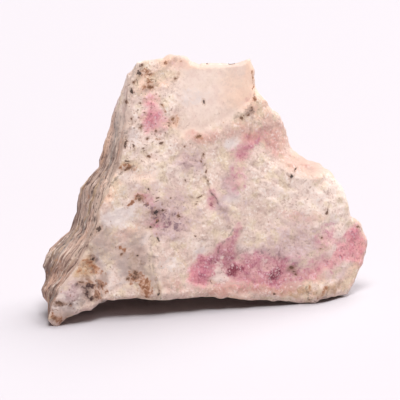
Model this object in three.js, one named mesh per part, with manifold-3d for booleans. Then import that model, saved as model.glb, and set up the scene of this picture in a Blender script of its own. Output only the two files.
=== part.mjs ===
// A rough hand specimen of tugtupite rock: a broken wedge of albite rock, one solid piece, in millimetres, +Z up.
// The stone is laid out square to its broad face, as [across, up, in]: across to the right, up along the face, and
// in from the face towards the back. The whole stone then leans back by LEAN_DEG and stands on a pointed foot at
// its left, a low corner at its right and a flat strip under its back. The origin is under the middle of the stone.
import * as THREE from "three";
import { mergeVertices } from "three/addons/utils/BufferGeometryUtils.js";
import Module from "manifold-3d";

// Driving dimensions
const LEAN_DEG = 15; // how far the broad face leans back from upright
const SEAT = -0.35; // height at which the leaning stone is cut off flat to stand
const FACE_IN = 9.5; // how far in the face lies at across = 0
const FACE_TURN = 0.3; // the face runs further in by this much for each mm to the right
const SQUARES = 34; // squares along each side of the six grids that cover the stone
const WALL_SQUARES = 13; // squares from the front edge to the back edge

// Front edge of the stone, seen square to the face: four chains of [across, up]
const TOP_EDGE = [
  [-13.6, 52.4], [-12, 52.8], [-8.4, 53.4], [-7.2, 53.9], [-5.4, 54], [-3.8, 53.6],
  [-2.6, 52.8], [-1.2, 52.3], [5.4, 52.3], [7, 52.8], [9, 53.2],
];
const RIGHT_EDGE = [
  [9, 53.2], [9.8, 51], [10.2, 47.6], [11.6, 45.4], [14.6, 42.4], [15.8, 40.2], [16.9, 36.6],
  [17.7, 34.9], [20.6, 33], [23, 32.4], [25.4, 30.6], [27.8, 27.4], [28.8, 24.2], [29.4, 22],
  [31.4, 20.2], [32.8, 17], [32.6, 14.2], [31.2, 10.8], [30.1, 8.2], [28.8, 6],
];
const BOTTOM_EDGE = [
  [-29.8, -0.6], [-27.4, 1.6], [-25, 2.6], [-22.6, 3.2], [-20.6, 4.9], [-18, 5], [-15.4, 5.4],
  [-10, 5], [-5, 5.2], [-1, 5.6], [4, 5.4], [9, 5], [15, 4.8], [21.8, 4.2], [23.4, 5], [28.8, 6],
];
const RIDGE = [
  [-13.6, 52.4], [-15, 49], [-15.8, 44], [-15.8, 40], [-17.4, 33], [-19.4, 28], [-20.8, 23.6],
  [-22, 18.6], [-23.4, 15.2], [-25.8, 11.4], [-29, 7], [-30.6, 3.6], [-31.2, 1.2], [-29.8, -0.6],
];

// Outer edge of the streaked side, which lies further in than the ridge: [across, up, in]
const SIDE_EDGE = [
  [-13.8, 51.8, 8], [-15.7, 50.2, 9], [-17.1, 45.8, 10], [-18.7, 41.6, 11], [-19.2, 39, 11.5],
  [-20.3, 36, 12], [-21.4, 31.6, 12.5], [-25, 27.4, 12.5], [-25.8, 22.6, 12.5], [-27.2, 18.8, 12],
  [-31.4, 15.2, 11], [-32.4, 11.8, 10], [-31.8, 10.2, 9], [-32.8, 7, 7], [-31.6, 4.4, 5.5],
  [-31.4, 2.4, 4.5], [-29.8, 0.9, 4],
];

// Back edge, where the walls end: four chains of [across, up, in]
const BACK_TOP = [[-10, 47, 18], [-2, 48.5, 20], [5, 47, 21]];
const BACK_RIGHT = [[5, 47, 21], [12, 38, 24], [18, 29, 26], [25, 20, 26], [26, 12, 27], [23, 6.4, 27]];
const BACK_LEFT = [[-10, 47, 18], [-15, 37, 21], [-17, 29, 23], [-23, 20, 23], [-25, 12, 21], [-24, 6.5, 19]];
const BACK_BOTTOM = [[-24, 6.5, 19], [-12, 6.3, 25], [4, 7.2, 29], [14, 6.9, 28], [23, 6.4, 27]];
const BACK_SWELL = 2.5; // how far the back swells past its edge

const BEND = 0.35; // the walls bend at this share of the way from the front edge to the back edge
const BEND_OUT = { top: 0.4, right: 0.8, bottom: -2.2 }; // and stand this far outside a straight wall there,
const MIDDLE = [0, 27]; // measured away from the middle of the face
const DRAWN_OVER = 4; // the ends that are drawn over to meet a corner are one part in this many of the run

// Broad forms of the face, each at a place given as [across, up]. A cut falls away past a line through its place,
// in the direction of its heading, eased over CUT_EASE, and reaches its full fall between two heights. A lump is a
// round rise, or a hollow where its rise is negative.
const CUTS = [
  { name: "right shoulder", at: [9.5, 43], headingDeg: -8, fall: 0.8, heights: [29, 38] },
  { name: "right end", at: [22, 15], headingDeg: 0, fall: 0.6, heights: [0, 3] },
];
const CUT_EASE = 4;
const LUMPS = [
  { name: "foot", at: [-27, 5.5], reach: [4.5, 4.5], rise: 1.2 },
  { name: "rusty hollow", at: [-22.6, 12], reach: [2.2, 3], rise: -0.9 },
  { name: "corner knob", at: [22.8, 6.6], reach: [2.4, 1.8], rise: 0.9 },
  { name: "middle swell", at: [4, 22], reach: [12, 9], rise: 0.8 },
  { name: "pink hollow", at: [4, 12.5], reach: [7, 3], rise: -0.5 },
];
const SMOOTH_FACE = {
  lowEdge: [[-8, 37], [0, 38.4], [6, 41.4], [9, 44], [10.2, 47]], // the smooth cleavage face lies above this line
  left: [-8, -3], // and to the right of these, fading in from the first to the second
  depth: 0.6, // sunk this far into the broad face
  edge: 1.5, // with a low edge that slopes over this distance each way
};

// Low ledges on the face. The ground on the left of a ledge's walk stands half a step up and the ground on its right
// half a step down, both dying away over its reach.
const LEDGES = [
  {
    name: "crack",
    step: 0.5,
    reach: 1.8,
    walk: [[-0.4, 35], [-0.4, 30.5], [0.8, 27.5], [1.2, 26.4], [2.5, 24.7], [3.5, 23.2], [5.2, 19.8]],
  },
  {
    name: "left shelf",
    step: 0.7,
    reach: 2.5,
    walk: [[-9, 33.5], [-12, 32.6], [-14.6, 31.4], [-17.6, 29.6], [-19, 27.6], [-21, 25]],
  },
  {
    name: "upper right step",
    step: 0.5,
    reach: 2.2,
    walk: [[25, 19], [23.4, 22], [21.4, 24.2], [18.4, 26.4], [15.4, 27.4], [13, 29.2], [9, 31.8]],
  },
  {
    name: "lower right step",
    step: 0.35,
    reach: 1.8,
    walk: [[21, 19.4], [19, 22], [16.4, 23], [14, 25.2], [11, 26]],
  },
  {
    name: "grey band",
    step: 0.6,
    reach: 1.6,
    walk: [[-8.6, 4.5], [-9.4, 8], [-10.2, 12], [-10.6, 16], [-12.4, 20]],
  },
  { name: "rusty pocket", step: 0.4, reach: 1.4, walk: [[-15.4, 14.8], [-14.8, 11], [-13.4, 8], [-12.6, 5]] },
  { name: "low lip", step: 0.45, reach: 1.8, walk: [[19, 8.4], [13, 7.4], [8, 8.8], [2, 7.4], [-5, 8.6]] },
  { name: "shoulder edge", step: 0.4, reach: 2, walk: [[8.4, 34], [8.8, 38], [9.4, 42], [9.8, 44]] },
];

// Bulges of the streaked side, and a waist between them: each is at [up, distance behind the face], and stands out
// square to the broad face. They start from nothing at the ridge and are whole past BULGE_START.
const SIDE_LUMPS = [
  { name: "high bulge", at: [26, 6], reach: [3.5, 4], rise: 1 },
  { name: "big bulge", at: [13.8, 6], reach: [3, 4], rise: 2 },
  { name: "waist", at: [10.3, 5.5], reach: [1.1, 5], rise: -1 },
  { name: "low bulge", at: [7.4, 4], reach: [2, 3], rise: 1.2 },
];
const BULGE_START = [0, 3];

// Broken relief: flat triangles between random heights
const BROAD_BREAKS = { size: 9, height: 2.6, seed: 3 };
const SMALL_BREAKS = { size: 3.7, height: 1.1, seed: 17 };
const FACE_RELIEF = 0.5; // share of the relief that the broad face keeps
const SMOOTH_RELIEF = 0.08; // and the share that the smooth face keeps
const WALL_START = [0, 6]; // the walls' relief grows to full between these distances in from the front edge
const SIDE_END = [11, 17]; // the streaked side gives way to the back between these

const smoothstep = THREE.MathUtils.smoothstep;

// Height of an edge given as [across, up] points, at one place across.
function heightAlong(edge, across) {
  const next = edge.findIndex(([a]) => a > across);
  if (next === 0) return edge[0][1];
  if (next < 0) return edge.at(-1)[1];
  const [[a, low], [b, high]] = [edge[next - 1], edge[next]];
  return low + ((high - low) * (across - a)) / (b - a);
}

// 1 on the smooth cleavage face near the top, 0 off it.
function onSmoothFace(across, up) {
  const { lowEdge, left, edge } = SMOOTH_FACE;
  const above = smoothstep(up - heightAlong(lowEdge, across), -edge, edge);
  return above * smoothstep(across, ...left);
}

// How far the ledges lift the face at a place on it.
function ledgeRise(across, up) {
  const here = new THREE.Vector3(across, up, 0);
  const [nearest, off, way] = [new THREE.Vector3(), new THREE.Vector3(), new THREE.Vector3()];
  let rise = 0;
  for (const { step, reach, walk } of LEDGES) {
    const stops = walk.map(([a, u]) => new THREE.Vector3(a, u, 0));
    const lines = stops.slice(1).map((stop, i) => new THREE.Line3(stops[i], stop));
    let [gap, left, walked, length] = [Infinity, 0, 0, 0];
    for (const line of lines) {
      const share = line.closestPointToPointParameter(here, true);
      off.subVectors(here, line.at(share, nearest));
      if (off.length() < gap) {
        line.delta(way);
        gap = off.length();
        left = Math.sign(way.x * off.y - way.y * off.x);
        walked = length + share * line.distance();
      }
      length += line.distance();
    }
    rise += (step / 2) * left * Math.exp(-((gap / reach) ** 2)) * Math.sin((Math.PI * walked) / length);
  }
  return rise;
}

// How far in the broad face lies at a place on it, before its broken relief.
function faceDepth(across, up) {
  let depth = FACE_IN + FACE_TURN * across;
  for (const { at, headingDeg, fall, heights } of CUTS) {
    const heading = THREE.MathUtils.degToRad(headingDeg);
    const past = Math.max(0, (across - at[0]) * Math.cos(heading) + (up - at[1]) * Math.sin(heading));
    depth += ((fall * past * past) / (past + CUT_EASE)) * smoothstep(up, ...heights);
  }
  for (const { at, reach, rise } of LUMPS)
    depth -= rise * Math.exp(-(((across - at[0]) / reach[0]) ** 2) - ((up - at[1]) / reach[1]) ** 2);
  return depth + SMOOTH_FACE.depth * onSmoothFace(across, up);
}

// A repeatable number from 0 to 1 for a whole-number cell.
function chance([i, j, k], seed) {
  let h = Math.imul(i, 374761393) ^ Math.imul(j, 668265263) ^ Math.imul(k, 1440662683) ^ Math.imul(seed, 974711);
  h = Math.imul(h ^ (h >>> 13), 1274126177);
  h = Math.imul(h ^ (h >>> 15), 461845907);
  return ((h ^ (h >>> 16)) >>> 0) / 4294967296;
}

// Height of a broken surface at a point: each corner of a slanted grid has a random height, and six flat-sided
// pieces of every cell join them without steps.
function breaks(p, { size, height, seed }) {
  const slanted = [p.x + 0.35 * p.y, p.y - 0.25 * p.z, p.z + 0.3 * p.x].map((c) => c / size);
  const corner = slanted.map(Math.floor);
  const part = slanted.map((c, axis) => c - corner[axis]);
  const order = [0, 1, 2].sort((a, b) => part[b] - part[a]);
  let sum = chance(corner, seed) * (1 - part[order[0]]);
  order.forEach((axis, n) => {
    corner[axis] += 1;
    sum += chance(corner, seed) * (part[axis] - (n < 2 ? part[order[n + 1]] : 0));
  });
  return height * (sum - 0.5);
}

const relief = (p) => breaks(p, BROAD_BREAKS) + breaks(p, SMALL_BREAKS);

// Sets a point of the broad face to its depth, relief included.
function setOnFace(p) {
  p.setZ(faceDepth(p.x, p.y));
  p.z -= THREE.MathUtils.lerp(FACE_RELIEF, SMOOTH_RELIEF, onSmoothFace(p.x, p.y)) * relief(p) + ledgeRise(p.x, p.y);
}

// A run of points, evenly spaced, along a chain of points.
function along(chain) {
  const points = chain.map(([a, u, d = 0]) => new THREE.Vector3(a, u, d));
  const path = new THREE.CurvePath();
  points.slice(1).forEach((p, i) => path.add(new THREE.LineCurve3(points[i], p)));
  return path.getSpacedPoints(SQUARES);
}

// A grid of points between four runs that share corners: each point is the sum of the two straight blends between
// opposite runs, less the blend of the four corners.
function sheetBetween({ top, right, bottom, left }) {
  const n = SQUARES;
  return left.map((_, i) =>
    top.map((_, j) => {
      const [s, t] = [j / n, i / n];
      const sides = left[i].clone().lerp(right[i], s);
      const ends = top[j].clone().lerp(bottom[j], t);
      const corners = top[0].clone().lerp(top[n], s).lerp(bottom[0].clone().lerp(bottom[n], s), t);
      return sides.add(ends).sub(corners);
    }),
  );
}

// Four runs as one closed ring, clockwise as seen from in front.
const ringOf = ({ top, right, bottom, left }) => [
  ...top.slice(0, -1),
  ...right.slice(0, -1),
  ...bottom.slice(1).reverse(),
  ...left.slice(1).reverse(),
  top[0],
];

// Where the walls bend: part of the way back, and in or out from the straight wall. The streaked side has an edge
// of its own, and the ends of the top and bottom runs are drawn over to meet their neighbours.
function bendOf(front, back) {
  const middle = new THREE.Vector3(...MIDDLE, 0);
  const bend = { left: along(SIDE_EDGE) };
  for (const side of ["top", "right", "bottom"])
    bend[side] = front[side].map((p, i) => {
      const out = p.clone().sub(middle).setZ(0).normalize();
      return p.clone().lerp(back[side][i], BEND).addScaledVector(out, BEND_OUT[side]);
    });
  const meet = (run, end, corner) => {
    const off = corner.clone().sub(run[end]);
    run.forEach((p, i) => p.addScaledVector(off, Math.max(0, 1 - (DRAWN_OVER * Math.abs(i - end)) / SQUARES)));
  };
  meet(bend.top, 0, bend.left[0]);
  meet(bend.bottom, 0, bend.left[SQUARES]);
  meet(bend.top, SQUARES, bend.right[0]);
  meet(bend.bottom, SQUARES, bend.right[SQUARES]);
  return bend;
}

// The wall between three rings, as rows of points from the front ring to the back one.
function wallThrough(front, bend, back) {
  return Array.from({ length: WALL_SQUARES + 1 }, (_, row) => {
    const share = row / WALL_SQUARES;
    const [from, to, part] =
      share < BEND ? [front, bend, share / BEND] : [bend, back, (share - BEND) / (1 - BEND)];
    return from.map((p, i) => p.clone().lerp(to[i], part));
  });
}

// Two triangles for each square of a grid, wound to face one way or the other.
function trianglesOf(grid, flip) {
  const corners = [];
  for (let i = 0; i + 1 < grid.length; i++)
    for (let j = 0; j + 1 < grid[i].length; j++) {
      const [a, b, c, d] = [grid[i][j], grid[i][j + 1], grid[i + 1][j + 1], grid[i + 1][j]];
      corners.push(...(flip ? [a, b, c, a, c, d] : [a, d, c, a, c, b]));
    }
  return corners;
}

// How far the streaked side stands out at a height and a distance behind the face.
function sideRise(up, behind) {
  let out = 0;
  for (const { at, reach, rise } of SIDE_LUMPS)
    out += rise * Math.exp(-(((up - at[0]) / reach[0]) ** 2) - ((behind - at[1]) / reach[1]) ** 2);
  return out * smoothstep(behind, ...BULGE_START);
}

// The whole skin of the stone, still square to the face.
function skin() {
  const front = { top: along(TOP_EDGE), right: along(RIGHT_EDGE), bottom: along(BOTTOM_EDGE), left: along(RIDGE) };
  const face = sheetBetween(front);
  face.flat().forEach(setOnFace);
  Object.values(front).flat().forEach(setOnFace);
  const back = {
    top: along(BACK_TOP),
    right: along(BACK_RIGHT),
    bottom: along(BACK_BOTTOM),
    left: along(BACK_LEFT),
  };
  const rear = sheetBetween(back);
  const arch = (i) => Math.sin((Math.PI * i) / SQUARES);
  rear.forEach((row, i) => row.forEach((p, j) => p.setZ(p.z + BACK_SWELL * arch(i) * arch(j))));
  const wall = wallThrough(ringOf(front), ringOf(bendOf(front, back)), ringOf(back));
  const corners = [...trianglesOf(face, false), ...trianglesOf(rear, true), ...trianglesOf(wall, true)];
  return mergeVertices(new THREE.BufferGeometry().setFromPoints(corners), 1e-4);
}

// Moves the points of the walls and the back out or in by the relief there. On the streaked side they move square to
// the broad face, which leaves that side's outline as drawn.
function breakWalls(geometry) {
  geometry.computeVertexNormals();
  const place = geometry.getAttribute("position");
  const normal = geometry.getAttribute("normal");
  const p = new THREE.Vector3();
  const out = new THREE.Vector3();
  const forward = new THREE.Vector3(0, 0, -1);
  for (let i = 0; i < place.count; i++) {
    p.fromBufferAttribute(place, i);
    out.fromBufferAttribute(normal, i);
    const behind = p.z - faceDepth(p.x, p.y);
    const onSide = smoothstep(-out.x, 0.1, 0.4) * (1 - smoothstep(behind, ...SIDE_END));
    const broken = relief(p) * smoothstep(behind, ...WALL_START);
    p.addScaledVector(out.lerp(forward, onSide), broken);
    p.addScaledVector(forward, sideRise(p.y, behind) * onSide);
    place.setXYZ(i, p.x, p.y, p.z);
  }
  geometry.deleteAttribute("normal");
  return geometry;
}

// The stone cut off flat at its seat.
async function cutLevel(geometry) {
  const wasm = await Module();
  wasm.setup();
  const mesh = new wasm.Mesh({
    numProp: 3,
    vertProperties: new Float32Array(geometry.getAttribute("position").array),
    triVerts: new Uint32Array(geometry.index.array),
  });
  const cut = new wasm.Manifold(mesh).trimByPlane([0, 0, 1], SEAT).getMesh();
  return new THREE.BufferGeometry()
    .setAttribute("position", new THREE.BufferAttribute(cut.vertProperties, 3))
    .setIndex(new THREE.BufferAttribute(cut.triVerts, 1));
}

// Out of the face's frame into the part's: the face's up tips back by the lean, and its in points along +Y.
const facing = new THREE.Matrix4().makeScale(1, 1, -1);
const leaning = new THREE.Matrix4().makeRotationX(THREE.MathUtils.degToRad(90 - LEAN_DEG));
const stoneGeometry = await cutLevel(breakWalls(skin()).applyMatrix4(facing).applyMatrix4(leaning));

stoneGeometry.computeBoundingBox();
const middle = stoneGeometry.boundingBox.getCenter(new THREE.Vector3());
stoneGeometry.translate(-middle.x, -middle.y, -SEAT);

const stone = new THREE.Mesh(
  stoneGeometry,
  new THREE.MeshStandardMaterial({ color: 0xe2cabd, roughness: 0.75, metalness: 0 }),
);
stone.name = "stone";

const specimen = new THREE.Group();
specimen.add(stone);
export default specimen;
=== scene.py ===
# %% [markdown]
# # A hand specimen of tugtupite rock
#
# The object is one lump of rock, broken off a larger block. Its broad face is cream albite with raspberry
# patches of tugtupite, lilac and grey sodalite, and rust where iron has leached out. One narrow side is a
# contact with a darker, streaked rock. A real specimen has no seams or parts, so it is one closed mesh
# here: the lesson is how to give one surface a believable break, and how to lay minerals into it.
#
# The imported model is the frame: it fixes where the stone stands and how big it is.

# %% Load the frame
import math

import bpy
import numpy as np
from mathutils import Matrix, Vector


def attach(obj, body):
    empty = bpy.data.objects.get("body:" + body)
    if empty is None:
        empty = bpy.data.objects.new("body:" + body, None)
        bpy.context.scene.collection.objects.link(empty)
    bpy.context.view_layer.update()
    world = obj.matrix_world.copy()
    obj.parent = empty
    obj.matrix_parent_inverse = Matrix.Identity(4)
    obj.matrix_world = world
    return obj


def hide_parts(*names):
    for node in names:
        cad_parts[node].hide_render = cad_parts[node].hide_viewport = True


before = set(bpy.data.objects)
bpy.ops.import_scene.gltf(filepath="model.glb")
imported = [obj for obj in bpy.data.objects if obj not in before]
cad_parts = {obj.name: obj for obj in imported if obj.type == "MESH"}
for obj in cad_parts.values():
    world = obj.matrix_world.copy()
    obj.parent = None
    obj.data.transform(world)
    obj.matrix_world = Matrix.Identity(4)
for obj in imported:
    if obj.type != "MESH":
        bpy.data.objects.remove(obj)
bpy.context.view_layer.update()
MM = 0.001

# %% [markdown]
# ## The camera comes first
#
# A stone looks different from every side, so the view is settled before the surface. The broad face leans
# back by 15 degrees and the camera looks down by as much, squarely at that face. A long lens far away
# keeps the outline free of perspective, so sizes on the face are easy to judge.

# %% Place the camera square to the broad face
LEAN = math.radians(15)
FACE_ORIGIN = np.array([-0.31, -18.64, 0.35])
VIEW_CENTRE = np.array([-1.0, 25.0, 10.0])
VIEW_WIDTH = 80.0
CAMERA_DISTANCE = 1500.0
SENSOR_WIDTH = 36.0
CLIP_METRES = (0.1, 10.0)


def to_part(points):
    """From the face's frame [across, up, in] to the part's: up and in turn about X, and all shift."""
    across, up, depth = np.moveaxis(np.asarray(points, float), -1, 0)
    back = up * math.sin(LEAN) + depth * math.cos(LEAN)
    height = up * math.cos(LEAN) - depth * math.sin(LEAN)
    return np.stack([across, back, height], axis=-1) + FACE_ORIGIN


lens_data = bpy.data.cameras.new("camera")
lens_data.sensor_width = SENSOR_WIDTH
lens_data.lens = SENSOR_WIDTH * CAMERA_DISTANCE / VIEW_WIDTH
lens_data.clip_start, lens_data.clip_end = CLIP_METRES
camera = bpy.data.objects.new("camera", lens_data)
bpy.context.scene.collection.objects.link(camera)
camera.location = Vector(to_part(VIEW_CENTRE - [0, 0, CAMERA_DISTANCE]) * MM)
camera.rotation_euler = (math.pi / 2 - LEAN, 0, 0)
bpy.context.scene.camera = camera
print("camera at", [round(c, 3) for c in camera.location], "lens", round(lens_data.lens), "mm")

# %% [markdown]
# ## The form of the stone
#
# The form could be sculpted, but a sculpt can't be read or changed by its sizes. Here one grid is
# stretched between the four edges of the broad face, one between the edges of the back, and a wall joins
# them with a bend in it. Every chain holds millimetres in the face's own frame: across to the right, up
# along the face, and in.

# %% Edges of the stone, in millimetres
TOP_EDGE = [
    (-13.6, 52.4), (-12, 52.8), (-8.4, 53.4), (-7.2, 53.9), (-5.4, 54), (-3.8, 53.6),
    (-2.6, 52.8), (-1.2, 52.3), (5.4, 52.3), (7, 52.8), (9, 53.2),
]
RIGHT_EDGE = [
    (9, 53.2), (9.8, 51), (10.2, 47.6), (11.6, 45.4), (14.6, 42.4), (15.8, 40.2), (16.9, 36.6),
    (17.7, 34.9), (20.6, 33), (23, 32.4), (25.4, 30.6), (27.8, 27.4), (28.8, 24.2), (29.4, 22),
    (31.4, 20.2), (32.8, 17), (32.6, 14.2), (31.2, 10.8), (30.1, 8.2), (28.8, 6),
]
BOTTOM_EDGE = [
    (-29.8, -0.6), (-27.4, 1.6), (-25, 2.6), (-22.6, 3.2), (-20.6, 4.9), (-18, 5), (-15.4, 5.4),
    (-10, 5), (-5, 5.2), (-1, 5.6), (4, 5.4), (9, 5), (15, 4.8), (21.8, 4.2), (23.4, 5), (28.8, 6),
]
RIDGE = [
    (-13.6, 52.4), (-15, 49), (-15.8, 44), (-15.8, 40), (-17.4, 33), (-19.4, 28), (-20.8, 23.6),
    (-22, 18.6), (-23.4, 15.2), (-25.8, 11.4), (-29, 7), (-30.6, 3.6), (-31.2, 1.2), (-29.8, -0.6),
]
SIDE_EDGE = [
    (-13.8, 51.8, 8), (-15.7, 50.2, 9), (-17.1, 45.8, 10), (-18.7, 41.6, 11), (-19.2, 39, 11.5),
    (-20.3, 36, 12), (-21.4, 31.6, 12.5), (-25, 27.4, 12.5), (-25.8, 22.6, 12.5), (-27.2, 18.8, 12),
    (-31.4, 15.2, 11), (-32.4, 11.8, 10), (-31.8, 10.2, 9), (-32.8, 7, 7), (-31.6, 4.4, 5.5),
    (-31.4, 2.4, 4.5), (-29.8, 0.9, 4),
]
BACK_TOP = [(-10, 47, 18), (-2, 48.5, 20), (5, 47, 21)]
BACK_RIGHT = [(5, 47, 21), (12, 38, 24), (18, 29, 26), (25, 20, 26), (26, 12, 27), (23, 6.4, 27)]
BACK_LEFT = [(-10, 47, 18), (-15, 37, 21), (-17, 29, 23), (-23, 20, 23), (-25, 12, 21), (-24, 6.5, 19)]
BACK_BOTTOM = [(-24, 6.5, 19), (-12, 6.3, 25), (4, 7.2, 29), (14, 6.9, 28), (23, 6.4, 27)]
print("points on the face's outline:", len(TOP_EDGE + RIGHT_EDGE + BOTTOM_EDGE + RIDGE) - 4)

# %% [markdown]
# Each grid is a Coons patch, which keeps all four of its edges and spreads their bends over its middle.

# %% Stretch a grid between four edges
SQUARES = 160
WALL_SQUARES = 56
BEND = 0.35
BEND_OUT = {"top": 0.4, "right": 0.8, "bottom": -2.2}
BACK_SWELL = 2.5
MIDDLE = np.array([0, 27, 0])
DRAWN_OVER = 4


def along(chain):
    """Evenly spaced points on a chain: each coordinate is interpolated against the length walked so far."""
    points = np.array([(*p, 0.0) if len(p) == 2 else p for p in chain], float)
    walked = np.concatenate([[0], np.cumsum(np.linalg.norm(np.diff(points, axis=0), axis=1))])
    stops = np.linspace(0, walked[-1], SQUARES + 1)
    return np.stack([np.interp(stops, walked, axis) for axis in points.T], axis=-1)


def sheet_between(top, right, bottom, left):
    """A Coons patch: left blended into right, plus top into bottom, less the blend of the corners."""
    s = np.linspace(0, 1, SQUARES + 1)[None, :, None]
    t = np.linspace(0, 1, SQUARES + 1)[:, None, None]
    sides = left[:, None] * (1 - s) + right[:, None] * s
    ends = top[None] * (1 - t) + bottom[None] * t
    corners = (top[0] * (1 - s) + top[-1] * s) * (1 - t) + (bottom[0] * (1 - s) + bottom[-1] * s) * t
    return sides + ends - corners


def ring_of(top, right, bottom, left):
    """Four runs as one closed loop, clockwise as seen from in front."""
    return np.concatenate([top[:-1], right[:-1], bottom[:0:-1], left[:0:-1]])


SIDES = ("top", "right", "bottom", "left")
outline = dict(zip(SIDES, map(along, (TOP_EDGE, RIGHT_EDGE, BOTTOM_EDGE, RIDGE))))
back_edge = dict(zip(SIDES, map(along, (BACK_TOP, BACK_RIGHT, BACK_BOTTOM, BACK_LEFT))))
print("squares on the front, the back and the wall:", SQUARES**2, SQUARES**2, 4 * SQUARES * WALL_SQUARES)

# %% [markdown]
# ## Broken relief from a repeatable chance
#
# Rock breaks in flats, steps and grains of many sizes. Breaks join random heights with flat triangles,
# like facets. Chips let the nearest of many tilted planes win, which leaves small steps. Pits are round
# dips, and swells are smooth. All draw on one formula that mixes a cell's whole-number address into a
# number from 0 to 1, so the same stone comes out every time.

# %% Four kinds of relief
CELL_FACTORS = (374761393, 668265263, 1440662683)
SEED_FACTOR = 974711
MIXING = ((13, 1274126177), (15, 461845907), (16, 1))
SLANTS = np.array([0.35, -0.25, 0.3])
CHIP_SHARPNESS = 14.0
PIT_SPREAD = 0.06


def chance(cells, seed):
    """A number from 0 to 1 for each cell: its address is multiplied by odd numbers, mixed and scaled."""
    address = np.moveaxis(cells.astype(np.int64).astype(np.uint32), -1, 0)
    mixed = np.uint32(seed * SEED_FACTOR)
    with np.errstate(over="ignore"):
        for axis, factor in zip(address, CELL_FACTORS):
            mixed = mixed ^ axis * np.uint32(factor)
        for shift, factor in MIXING:
            mixed = (mixed ^ (mixed >> np.uint32(shift))) * np.uint32(factor)
    return mixed / 2.0**32


def chances(cells, seed):
    """Three such numbers for each cell, from three seeds in a row."""
    return np.stack([chance(cells, seed + n) for n in range(3)], axis=-1)


def breaks(points, size, height, seed):
    """Random heights on a slanted grid of this size, joined inside each cell by six flat-sided pieces."""
    slanted = (points + SLANTS * np.roll(points, -1, axis=-1)) / size
    corner = np.floor(slanted)
    part = slanted - corner
    order = np.argsort(-part, axis=-1, kind="stable")
    ranked = np.take_along_axis(part, order, axis=-1)
    total = chance(corner, seed) * (1 - ranked[..., 0])
    for n in range(3):
        corner = corner + (order[..., n, None] == np.arange(3))
        next_part = ranked[..., n + 1] if n < 2 else 0
        total = total + chance(corner, seed) * (ranked[..., n] - next_part)
    return height * (total - 0.5)


def swells(points, size, seed):
    """Smooth noise from -1 to 1: random corner heights of a grid, blended by a smooth step on each axis."""
    q = points / size
    corner = np.floor(q)
    part = q - corner
    part = part * part * (3 - 2 * part)
    total = 0
    for n in range(8):
        step = np.array([n & 1, n >> 1 & 1, n >> 2 & 1])
        weight = np.prod(np.where(step == 1, part, 1 - part), axis=-1)
        total = total + weight * chance(corner + step, seed)
    return 2 * total - 1


def pushed(points, amount, size, seed):
    """Points pushed about by three swells, one along each axis."""
    return points + amount * np.stack([swells(points, size, seed + n) for n in range(3)], axis=-1)


def spots_near(points, size, seed):
    """Gives the 27 cells round each point in turn, and the way to it from a random spot in that cell."""
    q = points / size
    home = np.floor(q)
    for n in range(27):
        cell = home + np.array([n % 3 - 1, n // 3 % 3 - 1, n // 9 - 1])
        yield cell, q - cell - chances(cell, seed)


def chips(points, size, seed):
    """Tilted planes through random spots, one to a cell, blended so that the nearest nearly always wins."""
    heights = 0
    weights = 0
    for cell, away in spots_near(points, size, seed):
        tilt = 2 * chances(cell, seed + 3) - 1
        weight = np.exp(-CHIP_SHARPNESS * np.sum(away * away, axis=-1))
        heights = heights + weight * np.sum(tilt * away, axis=-1)
        weights = weights + weight
    return heights / weights


def pits(points, size, seed, share, depth):
    """Round pits: in a share of the cells, a bell-shaped dip under a random spot."""
    dip = 0
    for cell, away in spots_near(points, size, seed):
        here = chance(cell, seed + 3) < share
        dip = np.maximum(dip, here * np.exp(-np.sum(away * away, axis=-1) / PIT_SPREAD))
    return -depth * dip


def rise(x, low, high):
    """A smooth step: 0 below low, 1 above high, an S between."""
    t = np.clip((x - low) / (high - low), 0, 1)
    return t * t * (3 - 2 * t)


def bell(first, second, middle, reach, height):
    """A lump: its height at the middle, falling off as a bell over its reach each way."""
    off = ((first - middle[0]) / reach[0]) ** 2 + ((second - middle[1]) / reach[1]) ** 2
    return height * np.exp(-off)


# %% [markdown]
# ## The broad face
#
# Up close the broad face isn't a plane. Its right shoulder and right end turn away, the foot and one
# corner bulge, and a smooth cleavage break is sunk into its top right, as in the solid model. The fine
# surface adds low ledges, where one side of a walked line stands a little higher than the other, and a
# groove that sets the foot off.

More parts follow.
